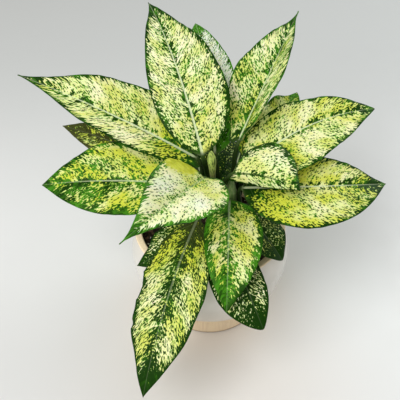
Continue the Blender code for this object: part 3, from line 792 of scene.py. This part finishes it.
def blade_frame(leaf, along):
    """The directions forward, left and up out of the blade, at shares of its length."""
    along = np.asarray(along, dtype=float)
    heading = leaf["heading"] + leaf["swing"] * (along - 0.5)
    forward = direction(heading, leaf["climb"] + leaf["arch"] * (0.5 - along))
    level = direction(heading + 90, 0 * along)
    above = np.cross(forward, level)
    roll = math.radians(leaf["roll"])
    left = level * math.cos(roll) + above * math.sin(roll)
    return forward, left, np.cross(forward, left)


def midrib_points(leaf, along, steps=2000):
    """The midrib's places at shares of the blade's length."""
    middles = (np.arange(steps) + 0.5) / steps
    walked = np.cumsum(blade_frame(leaf, middles)[0] * leaf["length"] / steps, axis=0)
    walked = np.vstack([np.zeros(3), walked]) + leaf["base"]
    shares = np.arange(steps + 1) / steps
    return np.stack([np.interp(along, shares, walked[:, i]) for i in range(3)], axis=-1)


def half_width(leaf, along):
    """The blade's half width: rounded at the base, widest before the middle, drawn out to a tip."""
    peak = leaf["widest"]
    fall = leaf["shoulder"] * (1 - peak) / peak
    share = (along / peak) ** leaf["shoulder"] * ((1 - along) / (1 - peak)) ** fall
    drawn = 1 - leaf["tip_draw"] * along ** TIP_DRAW_POWER
    return np.maximum(leaf["width"] / 2 * share * drawn, TIP_HALF_WIDTH)


def bitten(leaf, along, sign):
    """What share of the half width old damage to the margin has left."""
    left = np.ones_like(along)
    for bite_sign, middle, length, depth in leaf["bites"]:
        inside = np.clip(1 - np.abs(along - middle) / length, 0, 1)
        left -= (sign == bite_sign) * depth * inside ** BITE_POWER
    return left


def column_shares():
    """How far across each column lies, from 1 at the left edge to -1 at the right."""
    even = np.arange(HALF_COLUMNS + 1) / HALF_COLUMNS
    half = even * (COLUMN_EVENNESS + (1 - COLUMN_EVENNESS) * even)
    return np.concatenate([half[::-1], -half[1:]])


def blade_sections(leaf, seed):
    """The blade's upper and lower rows of points, and three sets of numbers for its material."""
    rows = round(leaf["length"] / ROW_LENGTH)
    starts = (np.arange(rows + 1) / rows) ** ROW_POWER
    starts = np.clip(starts, BLADE_END_SHARE, 1 - BLADE_END_SHARE)
    signed = column_shares()
    start, across = np.meshgrid(starts, signed, indexing="ij")
    sign = np.where(across >= 0, 1.0, -1.0)
    share = np.abs(across)
    sweep = VEIN_SWEEP * np.sqrt(start) * (1 - start)
    along = start + sweep * share ** VEIN_BEND
    forward, left, up = blade_frame(leaf, along)
    centre = midrib_points(leaf, along)
    taper = 1 - MIDRIB_THINNING * along
    reach = half_width(leaf, along) * (1 + sign * leaf["left_share"]) * bitten(leaf, along, sign)
    out = share * reach
    lift = np.where(sign > 0, leaf["lift_left"], leaf["lift_right"])
    cup = np.where(sign > 0, leaf["cup_left"], leaf["cup_right"])
    chord = np.radians(lift + cup * share / 2)[..., None]
    lean = np.radians(lift + cup * share)[..., None]
    phase = leaf["waves"] * along + leaf["wave_start"] + np.where(sign > 0, 0.0, 0.5)
    fade = np.sin(np.pi * along) ** WAVE_END_POWER
    ripple = leaf["wave"] * fade * np.sin(2 * np.pi * phase) * share ** WAVE_EDGE_POWER
    frill_turn = 2 * np.pi * (along * leaf["length"] / FRILL_LENGTH + FRILL_WANDER_RATE * seed) + sign
    wander = FRILL_WANDER * np.sin(frill_turn * FRILL_WANDER_RATE)
    ripple += FRILL * fade * share ** FRILL_EDGE_POWER * np.sin(frill_turn + wander)
    vein_turn = 2 * np.pi * start * leaf["length"] / VEIN_SPACING
    ripple -= leaf["quilt"] * np.cos(vein_turn) * fade * (4 * share * (1 - share)) ** QUILT_POWER
    rib = np.minimum(MIDRIB_HALF_WIDTH * taper, MIDRIB_WIDEST_SHARE * reach)
    ribbed = np.sqrt(np.clip(1 - (out / rib) ** 2, 0, 1))
    point = centre + left * (sign * out)[..., None] * np.cos(chord)
    point += up * (out[..., None] * np.sin(chord) + ripple[..., None])
    skin = up * np.cos(lean) - left * (sign[..., None] * np.sin(lean))
    skin = np.where(share[..., None] > 0, skin, up)
    back = along / EAR_PLACE * np.exp(1 - along / EAR_PLACE) * share ** 2
    point -= forward * (np.where(sign > 0, leaf["ear_left"], leaf["ear_right"]) * back)[..., None]
    thinned = share ** BLADE_EDGE_POWER
    thick = BLADE_EDGE_THICKNESS + (BLADE_HALF_THICKNESS - BLADE_EDGE_THICKNESS) * (1 - thinned)
    upper = point + skin * (thick - MIDRIB_SUNK * taper * ribbed)[..., None]
    lower = point - skin * (thick + MIDRIB_DEPTH * taper * ribbed)[..., None]
    left_place = sign * out * PATTERN_ACROSS_STRETCH * MM_IN_METRE
    place = np.stack([start * leaf["length"] * MM_IN_METRE, left_place, seed + 0 * out], axis=-1)
    shares = np.stack([along, share, np.clip(RIB_LINE_REACH - out / rib, 0, 1)], axis=-1)
    edges = np.stack([(reach - out) * MM_IN_METRE, out * MM_IN_METRE], axis=-1)
    return upper, lower, place, shares, edges


def ring_turns(columns):
    """The angles of a stalk's ring, over its top from left to right and back underneath."""
    upper = np.radians(np.linspace(RING_EDGE_TURN, 180 - RING_EDGE_TURN, columns))
    return np.concatenate([upper, -upper[::-1]])


def stalk_rings(leaf, columns):
    """The rings of the leaf's stalk, from the sheath on its stem to the foot of the blade."""
    axis = np.array([*STEM_PLACES[leaf["stem"]], 0.0])
    radius = stem_radius(leaf["stem"], leaf["seat_height"]) + SOIL_CLEARANCE
    seat = axis + direction(leaf["seat_turn"], 0) * radius + (0, 0, leaf["seat_height"])
    base = np.array(leaf["base"])
    reach = np.linalg.norm(base - seat)
    forward, left, _ = blade_frame(leaf, 0.0)
    bend_a = seat + direction(leaf["seat_turn"], STALK_SEAT_CLIMB) * STALK_SEAT_PULL * reach
    bend_b = base - forward * STALK_BLADE_PULL * reach
    seat_left = direction(leaf["seat_turn"] + 90, 0)
    turns = ring_turns(columns)
    spread = np.radians(leaf["seat_turn"]) - np.cos(turns) * SHEATH_HALF_WIDTH / radius
    height = leaf["seat_height"] + np.sin(turns) * SHEATH_HALF_HEIGHT
    rings = [axis + np.stack([radius * np.cos(spread), radius * np.sin(spread), height], axis=-1)]
    for i in range(1, STALK_RINGS):
        t = i / STALK_RINGS
        place = (seat * (1 - t) ** 3 + bend_a * 3 * t * (1 - t) ** 2
                 + bend_b * 3 * t * t * (1 - t) + base * t ** 3)
        ahead = ((bend_a - seat) * (1 - t) ** 2 + (bend_b - bend_a) * 2 * t * (1 - t)
                 + (base - bend_b) * t * t)
        ahead /= np.linalg.norm(ahead)
        across = seat_left * (1 - t) + left * t
        across -= ahead * across.dot(ahead)
        across /= np.linalg.norm(across)
        above = np.cross(ahead, across)
        thick = STALK_SEAT_RADIUS + (STALK_BLADE_RADIUS - STALK_SEAT_RADIUS) * t
        channel = STALK_CHANNEL * math.sin(math.pi * t) ** STALK_CHANNEL_FADE_POWER
        high = np.sin(turns) * np.where(turns > 0, STALK_FLATNESS, 1.0)
        high -= channel * np.clip(np.sin(turns), 0, 1) ** STALK_CHANNEL_POWER
        rings.append(place - np.outer(np.cos(turns) * thick, across) + np.outer(high * thick, above))
    return np.array(rings), reach * MM_IN_METRE


def ring_faces(rings, count):
    """The faces between rings that have the same count of points."""
    faces = []
    for i in range(rings - 1):
        near = i * count
        far = near + count
        for j in range(count):
            k = (j + 1) % count
            faces.append((near + j, near + k, far + k, far + j))
    return faces


def skin_faces(rings, count):
    """The faces of a closed leaf skin over its rings, with its two flat ends capped."""
    faces = ring_faces(rings, count)
    last = (rings - 1) * count
    for j in range(count // 2 - 1):
        mirror = count - 1 - j
        faces.append((j, mirror, mirror - 1, j + 1))
        faces.append((last + j, last + j + 1, last + mirror - 1, last + mirror))
    return faces


def pattern_clouds(place, scales, grain=1.0, roughness=0.5):
    """Clouds of a leaf's pattern, drawn out along its veins."""
    along, across, between_leaves = scales
    return clouds(place, (along * grain, across * grain, between_leaves), 2, roughness)


class Blade:
    """Where a point lies on a leaf, and the clouds that the leaf's pattern is made of."""

    def __init__(self, tree, leaf):
        self.place, self.place_along, self.place_left, _ = attribute(tree, "blade_place")
        _, self.along, self.across, self.rib = attribute(tree, "blade_shares")
        _, self.from_edge, self.from_rib, self.top = attribute(tree, "blade_edges")
        self.patches = pattern_clouds(self.place, PATCHES)
        self.specks = pattern_clouds(self.place, SPECKS, leaf["grain"], 0.6)
        self.streaks = pattern_clouds(self.place, STREAKS, leaf["grain"])
        self.strokes = pattern_clouds(self.place, STROKES)
        self.warmth = pattern_clouds(self.place, WARMTH)
        self.depth = pattern_clouds(self.place, DEPTH)
        self.cells = pattern_clouds(self.place, CELLS)


def pale_field(leaf, blade):
    """A number for each point of a blade: it is pale from about 0.5 up, and green below 0.45."""
    specks = calc("MULTIPLY_ADD", blade.specks, 1.4, -0.37)
    specks = calc("MULTIPLY_ADD", blade.streaks, 0.34, specks)
    edge_gap = total(blade.from_edge, spread(blade.specks, -1.6, 1.6),
                     spread(blade.strokes, -2.6, 2.6))
    rib_gap = total(blade.from_rib, spread(blade.streaks, -4, 4))
    margin = span(blade.place_left, -1, 1, leaf["margin"] - leaf["margin_lean"],
                  leaf["margin"] + leaf["margin_lean"])
    margins = calc("DIVIDE", edge_gap, margin)
    flanks = calc("DIVIDE", rib_gap, leaf["flank"])
    least = leaf["cream"] - leaf["patchy"]
    most = leaf["cream"] + leaf["patchy"]
    # The cover itself comes first. Then the margin, the bare edge, the midrib's flanks and the tip
    # take some away, and the left half and the foot add what the leaf's entry says.
    cover = total(
        span(blade.patches, 0.25, 0.75, least, most),
        span(margins, BAND_FADE_START, BAND_FADE_END, -1.1, 0.0),
        span(blade.from_edge, 0.6, 1.4, -1.0, 0.0),
        span(flanks, BAND_FADE_START, BAND_FADE_END, -0.60, 0.0),
        span(blade.along, leaf["green_tip"] - 0.12, 1.0, 0.0, -0.7),
        span(blade.place_left, -6, 10, 0.0, leaf["left_cover"]),
        span(blade.along, 0.04, 0.26, leaf["foot_cover"], 0.0))
    return calc("MULTIPLY_ADD", calc("SUBTRACT", cover, 0.5), 0.36, specks)


def ground_colours(leaf, blade, field):
    """The colours of the pale cover, of the lime rim round it, and of the green beneath."""
    yellowed = total(spread(blade.warmth, leaf["yellow"] - 0.3, leaf["yellow"] + 0.3),
                     span(blade.along, 0.05, 0.45, leaf["yellow_foot"], 0.0))
    pale = mixed(span(blade.patches, 0.4, 0.65), *CREAM)
    pale = mixed(span(yellowed, -0.5, 0.1, 1.0, 0.0), pale, COOL_CREAM)
    pale = mixed(span(yellowed, 0, 1), pale, YELLOW)
    lime = mixed(span(yellowed, 0, 1), *LIMES)
    shaded = total(spread(blade.depth, -0.35, 0.35),
                   span(field, 0.30, 0.46, 0.35, -0.10), leaf["deep"])
    green = mixed(span(shaded, 0, 1), *GREENS)
    olive = span(blade.along, 0.05, 0.45, leaf["olive_foot"], leaf["olive"])
    return pale, lime, mixed(olive, green, OLIVE)


def dotted(leaf, blade, colour, dark):
    """The colour with dark dots over it, more of them where the cover is thin."""
    dots = add_node("TexVoronoi", {"Vector": stretched(blade.place, DOTS), "Scale": 1.0})
    size = spread(blade.cells, 0.22, 0.46)
    nearer = calc("SUBTRACT", size, dots.outputs["Distance"])
    share = span(blade.patches, 0.35, 0.65, leaf["dots"] + 0.3, leaf["dots"] - 0.3)
    picked = span(total(dots.outputs["Color"], share), 0.95, 1.05)
    return mixed(calc("MULTIPLY", span(nearer, -0.03, 0.05), picked), colour, dark)


def with_painted_glow(leaf, blade, colour):
    """The colour with a golden spot painted over it, as light shining through the blade."""
    along, across, radius = leaf["painted_glow"]
    flat_place = stretched(blade.place, (1, 1, 0))
    off = add_node("VectorMath", {0: flat_place, 1: (along, across, 0)}, operation="DISTANCE")
    off = total(off.outputs["Value"], spread(blade.specks, -2, 2))
    glow_colour = mixed(span(blade.streaks, 0.4, 0.6), *PAINTED_GLOW_GOLDS)
    return mixed(span(off, radius * 0.8, radius, 0.9, 0.0), colour, glow_colour)


def leaf_material(name, leaf):
    """A green blade with a broken pale cover, in millimetres along its veins."""
    material, tree, shader = new_material(name)
    blade = Blade(tree, leaf)
    field = pale_field(leaf, blade)
    pale, lime, green = ground_colours(leaf, blade, field)
    dark = mixed(0.8, green, DARKEST)
    colour = mixed(span(field, 0.43, 0.48), green, lime)
    colour = mixed(span(field, 0.47, 0.52), colour, pale)
    colour = dotted(leaf, blade, colour, dark)
    # A golden spot is painted on a leaf that asks for it, as light shining through the blade.
    if leaf["painted_glow"] != LEAF_HABIT["painted_glow"]:
        colour = with_painted_glow(leaf, blade, colour)
    from_vein = {0: blade.place_along, 1: VEIN_SPACING * MM_IN_METRE / 2}
    vein = add_node("Math", from_vein, operation="PINGPONG").outputs[0]
    vein = calc("MULTIPLY", span(vein, 0.1, 0.55, 1, 0),
                span(blade.across, 0.7, 1, 1, 0))
    vein = calc("MULTIPLY", vein, span(blade.along, 0.55, 0.85, 1, 0))
    colour = mixed(calc("MULTIPLY", vein, 0.10), colour, SIDE_VEIN)
    rib_colour = mixed(span(blade.cells, 0.4, 0.7), *MIDRIB_PALES)
    # On a leaf that asks for it, the midrib is painted dark, as the shade in a crease along it.
    rib_colour = mixed(leaf["painted_crease_shade"], rib_colour, dark)
    rib_share = calc("MULTIPLY", span(blade.rib, 0.42, 0.80, 0, leaf["rib"]),
                     span(blade.along, 0.4, 1.0, 1.0, 0.3))
    colour = mixed(rib_share, colour, rib_colour)
    # The stalk is painted dark green, darkest at its seat on the stem, as the shade deep in the crown.
    stalk = mixed(span(blade.place_along, -12, 0), *STALK_PAINTED_SHADE)
    colour = mixed(span(blade.place_along, -2, 3), stalk, colour)
    under = mixed(0.45, colour, UNDERSIDE)
    veined = relief(vein, 0.0003, 0.5)
    set_inputs(shader, {
        "Base Color": mixed(blade.top, under, colour),
        "Roughness": spread(blade.patches, 0.38, 0.48),
        "Specular IOR Level": 0.10,
        "Specular Tint": (0.80, 1.0, 0.50, 1),
        "Subsurface Weight": 0.12,
        "Subsurface Radius": (0.6, 1.0, 0.2),
        "Subsurface Scale": 0.001,
        "Normal": relief(blade.cells, 0.00012, 0.35, veined)})
    return material


def both_sides(values):
    """Numbers for the points of the upper skin, and the same again for the lower skin."""
    return np.concatenate([values, values[:, ::-1]], axis=1)


def build_leaf(node, entry, seed):
    """One leaf: stalk, blade and midrib as one closed skin."""
    leaf = {**LEAF_HABIT, **entry}
    upper, lower, place, shares, edges = blade_sections(leaf, seed)
    columns = upper.shape[1]
    rings, stalk_length = stalk_rings(leaf, columns)
    blade = np.concatenate([upper, lower[:, ::-1]], axis=1)
    points = np.concatenate([rings, blade]).reshape(-1, 3)
    name = node.replace("leaf_", "") + "_leaf"
    faces = skin_faces(len(rings) + len(upper), 2 * columns)
    piece = mesh_piece(name, points, faces, leaf_material(name, leaf), sharp=60)
    # The stalk lies before the blade's start, and counts as midrib, upper side, far from an edge.
    stalk_place = np.zeros_like(rings)
    stalk_place[..., 0] = np.linspace(-stalk_length, 0, len(rings), endpoint=False)[:, None]
    stalk_place[..., 1] = np.sin(ring_turns(columns)) * 2
    stalk_place[..., 2] = seed
    stalk_shares = np.zeros_like(rings)
    stalk_shares[..., 2] = 1.0
    stalk_edges = np.ones_like(rings)
    stalk_edges[..., 0] = BARE_STALK_FROM_EDGE
    top = np.repeat([1.0, 0.0], columns)
    tops = np.broadcast_to(top, (len(upper), 2 * columns))[..., None]
    numbers = {"blade_place": (stalk_place, both_sides(place)),
               "blade_shares": (stalk_shares, both_sides(shares)),
               "blade_edges": (stalk_edges, np.concatenate([both_sides(edges), tops], axis=-1))}
    for key, parts in numbers.items():
        set_attribute(piece, key, np.concatenate(parts).reshape(-1, 3))
    return piece


for number, (node, entry) in enumerate(LEAVES.items()):
    add_piece(build_leaf(node, entry, SEED_STEP * number), node)


# The youngest leaf: still rolled up on itself like a cigar, it pushes straight up out of the
# left stem's top, pale green and tender.
ROLLED_LEAF_LENGTH = 0.036
ROLLED_LEAF_RADIUS = 0.0044
ROLLED_LEAF_TIP_RADIUS = 0.0007
ROLLED_LEAF_LEAN = (-0.002, -0.005)
ROLLED_LEAF_LEAN_POWER = 1.5
ROLLED_LEAF_FOOT_SHARE = 0.6
ROLLED_LEAF_FULLEST = 0.62
ROLLED_LEAF_FALL_POWER = 2.2
ROLLED_LEAF_SIDES = 40
ROLLED_LEAF_RINGS = 60
ROLL_STEP = 0.16
ROLL_TWIST = 150
TENDER_GREENS = ((0.075, 0.070, 0.022, 1), (0.50, 0.62, 0.15, 1))
TENDER_STREAK = (0.06, 0.10, 0.02, 1)


def rolled_leaf_fullness(along):
    """How full the rolled leaf is: slimmer at its foot, then drawn out to a point."""
    if along < ROLLED_LEAF_FULLEST:
        return ROLLED_LEAF_FOOT_SHARE + (1 - ROLLED_LEAF_FOOT_SHARE) * along / ROLLED_LEAF_FULLEST
    fall = ((along - ROLLED_LEAF_FULLEST) / (1 - ROLLED_LEAF_FULLEST)) ** ROLLED_LEAF_FALL_POWER
    return 1 - (1 - ROLLED_LEAF_TIP_RADIUS / ROLLED_LEAF_RADIUS) * fall


def young_material():
    """New growth, dark at its foot and pale higher up, with darker streaks."""
    material, tree, shader = new_material("tender_leaf")
    place = object_place(tree)
    streaks = clouds(place, (1100, 1100, 90), 3, 0.6)
    height = add_node("SeparateXYZ", {0: place}).outputs[2]
    risen = span(height, STEM_TOP_HEIGHT, STEM_TOP_HEIGHT + ROLLED_LEAF_LENGTH * 0.7)
    skin = mixed(risen, *TENDER_GREENS)
    set_inputs(shader, {
        "Base Color": mixed(span(streaks, 0.48, 0.62), skin, TENDER_STREAK),
        "Roughness": 0.40,
        "Normal": relief(streaks, 0.0003, 0.5)})
    return material


def build_rolled_leaf():
    """The rolled leaf, with the step of its outer edge winding up it."""
    foot = Vector((*STEM_PLACES["left"], STEM_TOP_HEIGHT + SOIL_CLEARANCE))
    points = []
    for i in range(ROLLED_LEAF_RINGS + 1):
        along = i / ROLLED_LEAF_RINGS
        lean = Vector((*ROLLED_LEAF_LEAN, 0.0)) * along ** ROLLED_LEAF_LEAN_POWER
        centre = foot + Vector((0, 0, ROLLED_LEAF_LENGTH * along)) + lean
        seam = math.radians(ROLL_TWIST * along)
        outermost = ROLLED_LEAF_RADIUS * rolled_leaf_fullness(along)
        for j in range(ROLLED_LEAF_SIDES):
            turn = 2 * math.pi * j / ROLLED_LEAF_SIDES
            radius = outermost * (1 - ROLL_STEP * j / ROLLED_LEAF_SIDES)
            points.append(centre + Vector((math.cos(turn + seam), math.sin(turn + seam), 0)) * radius)
    faces = ring_faces(ROLLED_LEAF_RINGS + 1, ROLLED_LEAF_SIDES)
    foot_ring = range(ROLLED_LEAF_SIDES)
    tip_ring = range(len(points) - ROLLED_LEAF_SIDES, len(points))
    faces += [tuple(foot_ring)[::-1], tuple(tip_ring)]
    points = [list(point) for point in points]
    return mesh_piece("rolled_leaf", points, faces, young_material(), sharp=45)


add_piece(build_rolled_leaf(), "leaf_rolled")


# The studio: a pale, slightly glossy floor, a broad soft light from the front left, a cooler one
# behind on the right, and the camera above and in front, looking 41 degrees down.
FLOOR_SIZE = 8.0
FLOOR_GREYS = ((0.72, 0.72, 0.71, 1), (0.76, 0.76, 0.75, 1))
FLOOR_PAINTED_FALLOFF_GREY = (0.60, 0.61, 0.60, 1)
FLOOR_PAINTED_FALLOFF_DEPTH = 0.6
PAINTED_WARM_SHADE = (0.74, 0.67, 0.62, 1)
PAINTED_WARM_SHADE_PLACE = (0.01, -0.12, 0)
PAINTED_WARM_SHADE_RADIUS = 0.20
LIGHTS_TARGET = (0.0, 0.0, 0.15)
ROOM_COLOUR = (0.93, 0.90, 0.85, 1)
ROOM_STRENGTH = 0.48
CAMERA_PLACE = (-0.010, -0.4234, 0.5045)
CAMERA_PITCH = 41
CAMERA_FOCAL_PIXELS = 581
PHOTO_PIXELS = 400
CAMERA_SENSOR = 36.0


def floor_material():
    """A pale smooth board with a soft gloss. It is painted greyer far back, as shade where the light
    falls off, and painted warm in front of the pot, as the pot's warm shade and reflection.
    """
    material, tree, shader = new_material("pale_floor")
    place = object_place(tree)
    back = add_node("SeparateXYZ", {0: place}).outputs[1]
    # A warm patch is painted on the board in front of the pot, as the pot's warm shade and the
    # reflection of its buff foot.
    away = add_node("VectorMath", {0: place, 1: PAINTED_WARM_SHADE_PLACE}, operation="DISTANCE")
    painted_warm_shade = span(away.outputs["Value"], 0.0, PAINTED_WARM_SHADE_RADIUS, 0.6, 0.0)
    board = mixed(spread(clouds(place, 3, 3), 0, 1), *FLOOR_GREYS)
    # The board is painted greyer towards the back, as shade where the light falls off.
    board = mixed(span(back, 0.0, FLOOR_PAINTED_FALLOFF_DEPTH), board, FLOOR_PAINTED_FALLOFF_GREY)
    set_inputs(shader, {
        "Base Color": mixed(painted_warm_shade, board, PAINTED_WARM_SHADE),
        "Roughness": spread(clouds(place, 40, 3), 0.30, 0.38)})
    return material


def add_light(name, place, size, power, colour):
    """A square soft light that faces the crown of the plant."""
    light = bpy.data.lights.new(name, "AREA")
    light.size = size
    light.energy = power
    light.color = colour
    lamp = placed(name, light)
    lamp.location = place
    lamp.rotation_euler = (Vector(LIGHTS_TARGET) - Vector(place)).to_track_quat("-Z", "Y").to_euler()


half_floor = FLOOR_SIZE / 2
floor_corners = [(-half_floor, -half_floor, 0), (half_floor, -half_floor, 0),
                 (half_floor, half_floor, 0), (-half_floor, half_floor, 0)]
floor = mesh_piece("floor", floor_corners, [(0, 1, 2, 3)], floor_material())

add_light("front_left_softbox", place=(-0.9, -1.0, 1.5), size=1.4, power=33, colour=(0.97, 0.99, 1.0))
add_light("back_right_softbox", place=(1.2, 1.1, 1.3), size=1.2, power=15, colour=(0.88, 0.96, 1.0))

world = bpy.data.worlds.new("soft_room")
world.use_nodes = True
world.node_tree.nodes["Background"].inputs["Color"].default_value = ROOM_COLOUR
world.node_tree.nodes["Background"].inputs["Strength"].default_value = ROOM_STRENGTH
bpy.context.scene.world = world
bpy.context.scene.view_settings.view_transform = "Standard"

camera_data = bpy.data.cameras.new("camera")
camera_data.sensor_width = CAMERA_SENSOR
camera_data.lens = CAMERA_FOCAL_PIXELS / PHOTO_PIXELS * CAMERA_SENSOR
camera = placed("camera", camera_data)
camera.location = CAMERA_PLACE
camera.rotation_euler = (math.radians(90 - CAMERA_PITCH), 0, 0)
bpy.context.scene.camera = camera
